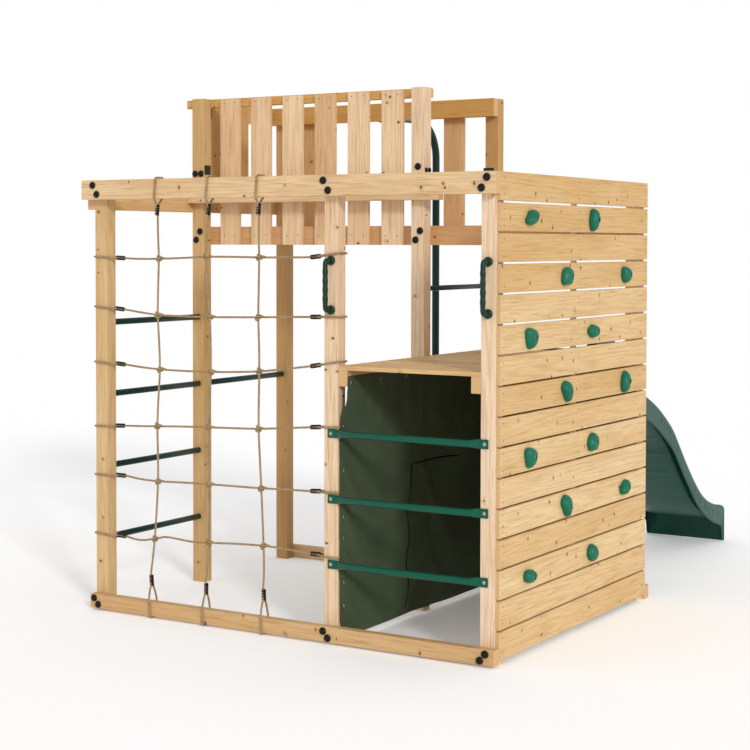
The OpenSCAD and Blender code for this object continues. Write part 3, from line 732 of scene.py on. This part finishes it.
def cast_hold(mesh, outline, centre, seed):
    """Lofts one hold against the outer face of the wall."""
    draw = random.Random(seed)
    lean = Vector((draw.uniform(-0.006, 0.006), draw.uniform(-0.008, 0.002)))
    wobble = [(draw.uniform(0.01, 0.035), draw.randint(2, 5), draw.uniform(0, 6.3))
              for _ in range(3)]
    curve = closed_curve(outline, 44)
    profile = [(0.97, 0.0), (1.06, 0.003), (1.09, 0.008), (1.07, 0.015), (0.99, 0.022),
               (0.86, 0.029), (0.70, 0.034), (0.52, 0.0368)]
    recess = [(RECESS + 0.0035, 0.0376), (RECESS + 0.0008, 0.0368), (RECESS, 0.0345),
              (RECESS, 0.026)]
    rings = []
    for share, height in profile:
        ring = []
        for point in curve:
            angle = math.atan2(point.y, point.x)
            push = 1 + sum(a * math.sin(n * angle + f) for a, n, f in wobble)
            a = point.x * HOLD * share * push + lean.x * height / PROUD
            b = point.y * HOLD * share * push + lean.y * height / PROUD
            ring.append(mesh.verts.new(centre + Vector((height, a, b))))
        rings.append(ring)
    for radius, height in recess:
        ring = []
        for point in curve:
            angle = math.atan2(point.y, point.x)
            ring.append(mesh.verts.new(
                centre + Vector((height, radius * math.cos(angle), radius * math.sin(angle)))))
        rings.append(ring)
    skin(mesh, rings)


wall_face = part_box("wall_boards")[1].x
for row, pair in enumerate(HOLDS):
    mesh = bmesh.new()
    for side in (0, 1):
        centre = at(0, COLUMNS[row % 2][side], WALL_TOP - (2 * row + 1) * WALL_PITCH - BOARD / 2)
        centre.x = wall_face
        cast_hold(mesh, pair[side], centre, 10 * row + side)
    piece("cast_holds_%d" % (row + 1), mesh, looks["hold"],
          ["holds_row_%d" % (row + 1)])
print("cast holds in", len(HOLDS), "rows")

# %% [markdown]
# ## Hand grips
# A grip is one moulded bar with a round foot at each end. The bar swells and narrows four
# times behind the fingers. Sweeping a circle whose size changes along the bar gives that
# without any sculpting. A domed cap hides the screw in each foot.

# %% Mould the grips
GRIP_Z, GRIP_HALF, GRIP_OUT = 1.532, 0.105, 0.048
FOOT = [(0.0190, 0.0), (0.0200, 0.001), (0.0200, 0.008), (0.0188, 0.0115), (0.0150, 0.014),
        (0.0110, 0.0145)]


def grip_width(share, angle):
    """Half the thickness of the bar along its length, with rounded finger ribs in the middle."""
    middle = min(share, 1 - share)
    ribs = 0.5 - 0.5 * math.cos((share - 0.24) / 0.52 * 8 * math.pi) if middle > 0.24 else 0.0
    return 0.0106 + 0.0016 * ribs + 0.003 * max(0, 1 - middle / 0.05)


for name, x in (("hand_grip_left", 1.308), ("hand_grip_right", 2.060)):
    mesh = bmesh.new()
    bar = [(0.0, GRIP_HALF), (0.02, GRIP_HALF), (GRIP_OUT, GRIP_HALF),
           (GRIP_OUT, GRIP_HALF - 0.04),
           (GRIP_OUT, 0), (GRIP_OUT, 0.04 - GRIP_HALF), (GRIP_OUT, -GRIP_HALF), (0.02, -GRIP_HALF),
           (0.0, -GRIP_HALF)]
    route = evenly(rounded([at(x, -out, GRIP_Z + z) for out, z in bar], 4), 0.002)
    sweep(mesh, route, grip_width, 28)
    for side in (-1, 1):
        foot = Matrix.Translation(at(x, 0, GRIP_Z + side * GRIP_HALF))
        lathe(mesh, FOOT, foot @ Matrix.Rotation(math.pi / 2, 4, "X"), 40)
    piece("moulded_" + name, mesh, looks["grip"], [name])
print("grips moulded")

# %% [markdown]
# ## Tubes
# The rungs, the bars and the pole are steel tube with powder coat. Their CAD shapes are already
# right, so they only get smooth shading by angle and a smooth, fairly glossy paint.

# %% Paint the tubes
paint_bright = moulded("bright_green_powder_coat", "#04533F", 0.18, 900.0, 0.00005, 0.08, 0.25)
paint_dark = moulded("dark_green_powder_coat", "#0C3026", 0.20, 900.0, 0.00005, 0.08, 0.25)


def steel(name, code, rough):
    """Bare metal, a little more dull in some places than in others."""
    made, tree, shader = new_material(name)
    grain = noise(tree, add(tree, "TexCoord").outputs["Object"], 1500.0, 2.0)
    feed(tree, shader, {"Base Color": colour(code), "Metallic": 1.0,
                        "Roughness": plus(tree, rough, times(tree, grain, 0.15))})
    return made


zinc = steel("zinc_plated_steel", "#A9AEAE", 0.28)
black_steel = moulded("black_coated_steel", "#1A1B1B", 0.4)


def smooth_part(node, material):
    """A CAD part with its own material, welded and smooth except at its sharp edges."""
    dress(node, material, 0.0008)
    part = nodes[node]
    for face in part.data.polygons:
        face.use_smooth = True
    part.modifiers["bevel"].harden_normals = True


for node in ("front_rung_1", "front_rung_2", "front_rung_3"):
    smooth_part(node, paint_bright)
for node in ("side_rungs", "step_bar", "pole"):
    smooth_part(node, paint_dark)
dress("corner_brackets", black_steel, 0.001)
smooth_part("hold_bolts", zinc)
print("tubes painted")

# %% [markdown]
# ## Bolt caps
# The bolts that join beams to posts are covered by dark domes with a small raised button in the
# middle. Most stand in slanting pairs. One lathe profile makes the dome.

# %% Caps on the bolts
DOME = [(0.0165, 0.0), (0.0165, 0.002), (0.0155, 0.0050), (0.0128, 0.0082), (0.0098, 0.0098),
        (0.0092, 0.0092), (0.0086, 0.0098), (0.0060, 0.0108), (0.0020, 0.0110)]
MID_Y = 0.7375
FLOOR_RAIL_Z = 1.748
cap_places = []


def cap_pair(x, y, z, lean, rise):
    """Two caps, one above the other, on a line that leans to one side."""
    for s in (-1, 1):
        cap_places.append((x + s * lean * 0.012, y, z + s * rise))


for z, rise in ((BEAM_MIDDLE, 0.021), (SILL_MIDDLE, 0.014)):
    cap_pair(0.035, -0.045, z, -1, rise)
    cap_pair(1.307, -0.045, z, -1, rise)
    cap_pair(2.062, -0.045, z, 1, rise)
for x in (0.035, 1.307):
    cap_pair(x, MID_Y, FLOOR_RAIL_Z, 1, 0.021)
cap_places += [(0.017, MID_Y, 2.058), (0.053, MID_Y, 2.058), (1.307, MID_Y, 2.066)]
mesh = bmesh.new()
front_on = Matrix.Rotation(math.pi / 2, 4, "X")
side_on = Matrix.Rotation(math.pi / 2, 4, "Y")
for place in cap_places:
    lathe(mesh, DOME, Matrix.Translation(at(*place)) @ front_on)
for y in (0.015, 0.045):
    small = Matrix.Translation(at(1.342, MID_Y + y, 2.050)) @ side_on @ Matrix.Scale(0.72, 4)
    lathe(mesh, DOME, small)
piece("domed_bolt_caps", mesh, looks["cap"], ["bolt_caps"])
print("bolt caps:", len(cap_places) + 2)

# %% [markdown]
# ## Nails and small bolts
# Every board and picket is held by two small nails at each rail. They are tiny, but a wall
# without them looks like a drawing. One mesh holds them all, each a low disc that stands
# 0.6 mm proud and sits a little off the line, as a hand-driven nail does.

# %% Drive the nails
NAIL = [(0.0031, 0.0), (0.0031, 0.0002), (0.0026, 0.0005), (0.0008, 0.0006)]
mesh = bmesh.new()
nails = 0


def nail(place, turn):
    """One nail head, slightly off its place."""
    global nails
    off = Vector([random.uniform(-0.003, 0.003) for _ in range(3)])
    normal = turn @ Vector((0, 0, 1))
    off -= normal * off.dot(normal)
    lathe(mesh, NAIL, Matrix.Translation(place + off) @ turn.to_4x4(), 12)
    nails += 1


to_right = Matrix.Rotation(math.pi / 2, 3, "Y")
to_front = Matrix.Rotation(math.pi / 2, 3, "X")
to_back = Matrix.Rotation(-math.pi / 2, 3, "X")
to_top = Matrix.Identity(3)
for i in range(16):
    for y in (0.030, 0.753, 1.505):
        for z in (-0.034, 0.034):
            nail(at(2.115, y, WALL_TOP - BOARD / 2 - WALL_PITCH * i + z), to_right)
for i in range(6):
    x = 0.1423 + BOARD / 2 + i * inner_pitch
    for side in (-0.032, 0.032):
        for z in (2.409, FLOOR_RAIL_Z):
            nail(at(x + side, 0.7795, z), to_front)
for low_x in (0.178, 1.033 - BOARD):
    for side in (0.026, 0.090):
        for z in (2.387, FLOOR_RAIL_Z):
            nail(at(low_x + side, 1.493, z), to_back)
left_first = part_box("left_guard_pickets")[0].y - corner.y + BOARD / 2
for i in range(3):
    for side in (-0.032, 0.032):
        for z in (2.387, 1.910):
            nail(at(0.018, left_first + i * left_pitch + side, z), to_right)
for i in range(12):
    for x in (1.3645, 2.0045):
        for side in (-0.030, 0.030):
            nail(at(x, BOARD / 2 + i * deck_pitch + side, DECK_TOP), to_top)
platform_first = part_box("platform_boards")[0].x - corner.x + BOARD / 2
for i in range(10):
    for y in (0.858, 1.415):
        for side in (-0.030, 0.030):
            nail(at(platform_first + i * platform_pitch + side, y, PLATFORM_TOP), to_top)
piece("nail_heads", mesh, steel("dull_nail_steel", "#6E6A62", 0.45), smooth=False)
print("nails:", nails)

# %% [markdown]
# The flattened ends of the three front rungs each have one bolt, and two more hold the upper end
# of the pole. A flat washer and a small head, turned in one profile, are enough at this size.

# %% Bolts in the rung ends
HEX = [(0.0082, 0.0), (0.0082, 0.0010), (0.0058, 0.0012), (0.0058, 0.0042), (0.0048, 0.0050),
       (0.001, 0.0052)]
RUNG_FIRST, RUNG_PITCH = 0.338, 0.281
mesh = bmesh.new()
for i in range(3):
    for x in (1.3093, 2.0477):
        place = at(x, -0.005, RUNG_FIRST + RUNG_PITCH * i)
        lathe(mesh, HEX, Matrix.Translation(place) @ front_on, 24)
for x in (0.624, 0.700):
    lathe(mesh, HEX, Matrix.Translation(at(x, 1.430, 2.372)) @ front_on, 24)
piece("small_bolts", mesh, zinc, smooth=False)
print("small bolts made")

# %% [markdown]
# ## Slide
# The slide is one blow-moulded shell. Seen from the end, its section runs up the outer skirt,
# rolls over the rim, drops down the inner wall and sweeps into the bed. Three side-view curves
# say how high the rim, the bed and the skirt's edge are at each place, in millimetres behind the
# frame and above the deck, and the section is stretched between them. Shallow grooves cross the
# bed, short slots stand in the skirt, and the end drops straight to the ground.

# %% Side-view curves of the slide
RIM = [(-90, 100), (0, 98), (110, 66), (250, -30), (410, -175), (538, -259), (644, -299),
       (768, -361), (929, -464), (1012, -550), (1097, -638), (1182, -720), (1269, -798),
       (1357, -866), (1447, -914), (1537, -947), (1628, -969), (1710, -980), (1735, -992)]
BED = [(-90, 7), (0, 6), (110, -24), (250, -125), (410, -262), (538, -345), (644, -388),
       (768, -450), (929, -552), (1012, -636), (1097, -722), (1182, -803), (1269, -880),
       (1357, -946), (1447, -994), (1537, -1026), (1628, -1046), (1700, -1055), (1735, -1058)]
SKIRT = [(-90, 2), (2, 2), (14, -10), (110, -40), (250, -136), (410, -286), (550, -380),
         (646, -414), (771, -478), (932, -575), (1014, -653), (1099, -740), (1185, -818),
         (1272, -900), (1360, -963), (1449, -1012), (1540, -1052), (1631, -1080),
         (1703, -1099), (1710, -1186), (1735, -1187)]


def height_at(curve, y):
    """The height of a side-view curve at a place along the slide."""
    for a, b in zip(curve, curve[1:]):
        if a.x <= y <= b.x and b.x > a.x:
            return a.y + (b.y - a.y) * (y - a.x) / (b.x - a.x)
    return curve[-1].y


side_views = [rounded([Vector((y / 1000, z / 1000, 0)) for y, z in curve])
              for curve in (RIM, BED, SKIRT)]
slide_low, slide_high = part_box("slide")
slide_width = slide_high.x - slide_low.x
print("slide width:", round(slide_width, 3))

# %% Mould the slide


def slide_section(rim, bed, skirt, dip):
    """From the left skirt's edge to the middle, as (distance in from the side, height)."""
    drop = rim - bed
    return [(0.006, skirt), (0.004, skirt + 0.012), (0.002, rim - 0.062),
            (0.001, rim - 0.034), (0.000, rim - 0.014), (0.003, rim - 0.005), (0.009, rim - 0.001),
            (0.018, rim), (0.028, rim - 0.001), (0.035, rim - 0.006), (0.040, rim - 0.016),
            (0.043, rim - 0.45 * drop), (0.048, bed + 0.25 * drop), (0.057, bed + 0.10 * drop),
            (0.074, bed + 0.02 * drop), (0.100, bed + dip), (0.170, bed + dip), (0.235, bed + dip)]


def groove(s):
    """How far the bed is pressed down at a place along the slide."""
    if not 0.30 < s < 1.17:
        return 0.0
    return -0.006 * max(0.0, math.cos(2 * math.pi * (s - 0.870) / GROOVE_PITCH)) ** 14


SLOTS = (0.753, 0.793, 0.833, 0.873, 0.914, 0.996, 1.253, 1.305, 1.349, 1.411, 1.447, 1.492,
         1.538, 1.629)
STATION = 0.006
GROOVE_PITCH = 0.1175
FRAME_DEPTH = 1.535
stations = [-0.088 + STATION * i for i in range(304)]
stations = [s for s in stations if s < 1.727] + [1.7315]
mesh = bmesh.new()
rows = []
for s in stations:
    rim, bed, skirt = [height_at(c, s) for c in side_views]
    half = slide_section(rim, bed, skirt, groove(s))
    across = half + [(slide_width - a, h) for a, h in half[-2::-1]]
    y = corner.y + FRAME_DEPTH + s
    rows.append([mesh.verts.new((slide_low.x + a, y, DECK_TOP + h)) for a, h in across])
foot = [mesh.verts.new((v.co.x, v.co.y + 0.001, 0.003)) for v in rows[-1]]
last = len(rows[0]) - 1
for s, a, b in zip(stations, rows, rows[1:] + [foot]):
    slotted = any(abs(s + STATION / 2 - slot) <= STATION / 2 for slot in SLOTS)
    for k in range(last):
        if not (slotted and k in (2, last - 3)):
            mesh.faces.new((a[k], a[k + 1], b[k + 1], b[k]))
slide = piece("moulded_slide", mesh, looks["slide"], ["slide"])
shell = slide.modifiers.new("shell", "SOLIDIFY")
shell.thickness = 0.004
shell.offset = 0.0
print("slide sections:", len(stations))

# %% [markdown]
# ## Den cloth
# The den below the deck is closed by hanging cloth. The side cloth is screwed to the joist and
# pulled in to the front post by eyelets. It was cut a little larger than the gap, so it
# hangs in soft folds between its fixings. Blender's cloth simulation finds those folds: a flat
# grid is pinned at the screws and allowed to grow slightly, and gravity does the rest.

# %% Cloth material


def cloth_material():
    """Matt woven cloth, a little paler in some places than in others."""
    made, tree, shader = new_material("olive_den_cloth")
    place = add(tree, "TexCoord").outputs["Object"]
    axes = add(tree, "SeparateXYZ", {0: place}).outputs
    threads = [calc(tree, "SINE", times(tree, way, 4200.0))
               for way in (axes[2], plus(tree, axes[0], axes[1]))]
    cloud = noise(tree, place, 3.5, 3.0)
    feed(tree, shader, {"Base Color": mix(tree, cloud, colour("#35432F"), colour("#4C5B41")),
                        "Roughness": 0.85, "Specular IOR Level": 0.2, "Sheen Weight": 0.04})
    bump(tree, shader, times(tree, *threads), 0.0002, 0.5)
    return made


cloth_look = cloth_material()
print("cloth look ready")

# %% A hanging cloth


def hanging_cloth(name, columns, rows_count, where, pinned, frames, growth, keep_in):
    """Simulates a grid of cloth. where(u, v) gives its place; pinned(u, v) says what is fixed."""
    data = bpy.data.meshes.new(name)
    wide = columns + 1
    verts = [where(c / columns, r / rows_count) for r in range(rows_count + 1) for c in range(wide)]
    faces = [(r * wide + c, r * wide + c + 1, (r + 1) * wide + c + 1, (r + 1) * wide + c)
             for r in range(rows_count) for c in range(columns)]
    data.from_pydata(verts, [], faces)
    made = bpy.data.objects.new(name, data)
    bpy.context.scene.collection.objects.link(made)
    group = made.vertex_groups.new(name="pins")
    fixed = [r * wide + c for r in range(rows_count + 1) for c in range(wide)
             if pinned(c / columns, r / rows_count)]
    group.add(fixed, 1.0, "REPLACE")
    for i, v in enumerate(data.vertices):
        if i not in set(fixed):
            v.co.x += random.uniform(-0.0008, 0.0008)
            v.co.y += random.uniform(-0.0008, 0.0008)
    cloth = made.modifiers.new("cloth", "CLOTH")
    cloth.settings.vertex_group_mass = "pins"
    cloth.settings.quality = 6
    cloth.settings.mass = 0.25
    cloth.settings.tension_stiffness = 40
    cloth.settings.compression_stiffness = 40
    cloth.settings.shear_stiffness = 20
    cloth.settings.bending_stiffness = 1.5
    cloth.settings.shrink_min = -growth
    cloth.collision_settings.use_collision = False
    scene = bpy.context.scene
    cloth.point_cache.frame_end = frames
    for f in range(1, frames):
        scene.frame_set(f)
    hung = made.evaluated_get(bpy.context.evaluated_depsgraph_get()).to_mesh()
    places = [v.co.copy() for v in hung.vertices]
    made.evaluated_get(bpy.context.evaluated_depsgraph_get()).to_mesh_clear()
    made.modifiers.remove(cloth)
    for v, place in zip(data.vertices, places):
        v.co = keep_in(place)
    scene.frame_set(1)
    made.vertex_groups.clear()
    for face in data.polygons:
        face.use_smooth = True
    data.materials.append(cloth_look)
    thick = made.modifiers.new("thickness", "SOLIDIFY")
    thick.thickness = 0.0012
    thick.offset = 0.0
    smooth = made.modifiers.new("smooth", "SUBSURF")
    smooth.levels = smooth.render_levels = 1
    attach(made, "root")
    return made


JOIST_X, POST_X, POST_FACE = 1.3885, 1.3540, 1.3425
SIDE_FRONT, SIDE_BACK, SIDE_TOP, SIDE_LOW = 0.003, 1.466, 1.148, 0.027
SIDE_ROWS = 60


def side_where(u, v):
    """The side cloth before it hangs: flat, but stepped in below the joist to meet the post."""
    y = SIDE_FRONT + u * (SIDE_BACK - SIDE_FRONT)
    lowest = SIDE_LOW + 0.07 * max(0.0, 1 - u / 0.06) ** 2
    z = SIDE_TOP + v * (lowest - SIDE_TOP)
    inward = min(1.0, max(0.0, (1.085 - z) / 0.12))
    inward = inward * inward * (3 - 2 * inward)
    return at(JOIST_X + (POST_X - JOIST_X) * inward, y, z)


def side_pinned(u, v):
    """Fixed along the top, at the eyelets of both edges and at some points down the middle."""
    row = round(v * SIDE_ROWS) % 10
    edge = u in (0, 1) and row in (0, 1)
    middle = abs(u - 0.5) < 0.012 and row == 5 and v > 0.1
    return v == 0 or edge or middle


def side_keep(place):
    """The cloth can't pass into the posts, and the joist is behind its top edge."""
    z = place.z - corner.z
    rise = min(1.0, max(0.0, (z - 0.955) / 0.140))
    y = min(max(place.y - corner.y, 0.001), 1.468)
    over_ropes = 0.0100 if y < 0.075 else 0.0015
    limit = POST_FACE + over_ropes + rise * (JOIST_X - POST_FACE - over_ropes)
    x = min(max(place.x - corner.x, limit), limit + 0.040)
    return at(x, y, max(z, 0.02))


side_cloth = hanging_cloth("hung_side_cloth", 70, SIDE_ROWS, side_where, side_pinned, 32, 0.012,
                           side_keep)
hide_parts("den_side_cloth")
print("side cloth hung")

# %% [markdown]
# A dark binding is sewn on the side cloth, up and then towards the back, like two edges of a
# window flap. It has to lie on the folds, so each point of its route takes its depth from the
# nearest point of the hung cloth, and a few passes of averaging take the steps out again.

# %% The seam of the window flap
SEAM = ((0.561, 0.050), (0.564, 0.247), (0.577, 0.474), (0.585, 0.588), (0.600, 0.700),
        (0.612, 0.708), (0.672, 0.706), (0.788, 0.705), (0.908, 0.706), (1.050, 0.698))
SEAM_R = 0.0032
mesh = bmesh.new()
surface = [v.co.copy() for v in side_cloth.data.vertices]
seam_route = []
for point in evenly(rounded([at(POST_X, y, z) for y, z in SEAM], 2), 0.006):
    close = min(surface, key=lambda c: (c.y - point.y) ** 2 + (c.z - point.z) ** 2)
    seam_route.append(Vector((close.x, point.y, point.z)))
for _ in range(8):
    seam_route = ([seam_route[0]] + [(a + 2 * b + c) / 4 for a, b, c in
                  zip(seam_route, seam_route[1:], seam_route[2:])] + [seam_route[-1]])
sweep(mesh, seam_route, lambda share, angle: SEAM_R, 10)
seam_look = moulded("black_seam_binding", "#0E120E", 0.8, shine=0.05)
piece("flap_seam", mesh, seam_look)
print("flap seam sewn:", round(route_length(seam_route), 3))

# %% [markdown]
# The back cloth closes the far end of the den in the same way, between two of the back posts.

# %% The back cloth
BACK_Y = 1.472
BACK_TOP, BACK_LOW = 1.096, 0.030
BACK_ROWS = 52


def back_where(u, v):
    """The back cloth before it hangs."""
    return at(1.296 + u * 0.790, BACK_Y, BACK_TOP + v * (BACK_LOW - BACK_TOP))


def back_pinned(u, v):
    """Fixed along the top and at four places down each side."""
    return v == 0 or (u in (0, 1) and round(v * BACK_ROWS) % 13 in (0, 1))


def back_keep(place):
    """The cloth stays between the posts, just in front of the back sill."""
    y = min(max(place.y - corner.y, BACK_Y - 0.030), 1.4735)
    return at(min(max(place.x - corner.x, 1.292), 2.093), y, max(place.z - corner.z, 0.02))


back_cloth = hanging_cloth("hung_back_cloth", 40, BACK_ROWS, back_where, back_pinned, 28, 0.010,
                           back_keep)
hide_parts("den_back_cloth")
print("back cloth hung")

# %% [markdown]
# Bright eyelets show where the side cloth is fixed: seven along the joist, six down the post.

# %% Eyelets of the cloth
mesh = bmesh.new()
EYELET = [(0.0085, 0.0), (0.0085, 0.0012), (0.0060, 0.0022), (0.0035, 0.0018), (0.001, 0.0024)]
for y in (0.035, 0.279, 0.496, 0.719, 0.94, 1.16, 1.38):
    lathe(mesh, EYELET, Matrix.Translation(at(1.3895, y, 1.118)) @ side_on, 20)
for z in (0.930, 0.740, 0.541, 0.450, 0.260, 0.160):
    lathe(mesh, EYELET, Matrix.Translation(at(1.3555, 0.030, z)) @ side_on, 20)
piece("cloth_eyelets", mesh, zinc)
print("eyelets set")

# %% [markdown]
# ## Studio
# The backdrop is plain white, with the soft, almost shadowless light of a large studio. The
# camera sees the world as pure white, but only part of that light falls on the object, so that
# its colours stay deep. A broad soft sun from the front right gives shape. The floor glows
# faintly, which keeps it as white as the backdrop, and still catches a soft shadow. None of this
# is part of the object.

# %% Floor and light
WHITE = (1, 1, 1, 1)
FILL = 0.74
floor_mesh = bmesh.new()
bmesh.ops.create_grid(floor_mesh, x_segments=1, y_segments=1, size=60)
floor_data = bpy.data.meshes.new("floor")
floor_mesh.to_mesh(floor_data)
floor_mesh.free()
floor = bpy.data.objects.new("floor", floor_data)
bpy.context.scene.collection.objects.link(floor)
floor_look, floor_tree, floor_shader = new_material("white_studio_floor")
feed(floor_tree, floor_shader, {
    "Base Color": (0.93, 0.93, 0.93, 1), "Roughness": 0.9, "Specular IOR Level": 0.0,
    "Emission Color": WHITE, "Emission Strength": 0.14})
floor_data.materials.append(floor_look)

world = bpy.data.worlds.new("studio")
world.use_nodes = True
sky = world.node_tree
seen = add(sky, "LightPath").outputs["Is Camera Ray"]
glow = plus(sky, FILL, times(sky, seen, 1.0 - FILL))
feed(sky, sky.nodes["Background"], {"Color": WHITE, "Strength": glow})
bpy.context.scene.world = world


def sun(name, strength, soft, direction):
    """A sun that shines along a direction."""
    data = bpy.data.lights.new(name, "SUN")
    data.energy = strength
    data.angle = math.radians(soft)
    made = bpy.data.objects.new(name, data)
    made.rotation_euler = Vector(direction).to_track_quat("-Z", "Y").to_euler()
    bpy.context.scene.collection.objects.link(made)


sun("key", 1.5, 9, (-0.80, 0.62, -0.42))
print("studio ready")
